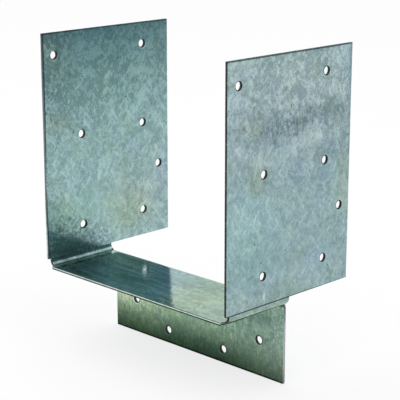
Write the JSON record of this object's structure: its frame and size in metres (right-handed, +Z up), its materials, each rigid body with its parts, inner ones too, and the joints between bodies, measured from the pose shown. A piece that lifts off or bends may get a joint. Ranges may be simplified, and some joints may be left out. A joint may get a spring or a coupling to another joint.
{
  "type": "header hanger",
  "caption": "Folded galvanized sheet-steel hanger with a flat seat, two tall side plates and a drop tab, nailed to a stud to carry the end of a header.",
  "frame": {"origin": "on the seat's top face, mid-width, halfway between the seat's front edge and the stud's face", "axes": "+Z up from the seat, +Y from the header towards the stud, +X across the header"},
  "size_m": [0.1438, 0.0952, 0.1815],
  "materials": {
    "galvanized_steel": "hot-dip galvanized mill finish, semi-bright with soft cloudy spangle"
  },
  "bodies": {
    "root": {"header_hanger": "galvanized_steel"}
  },
  "joints": []
}
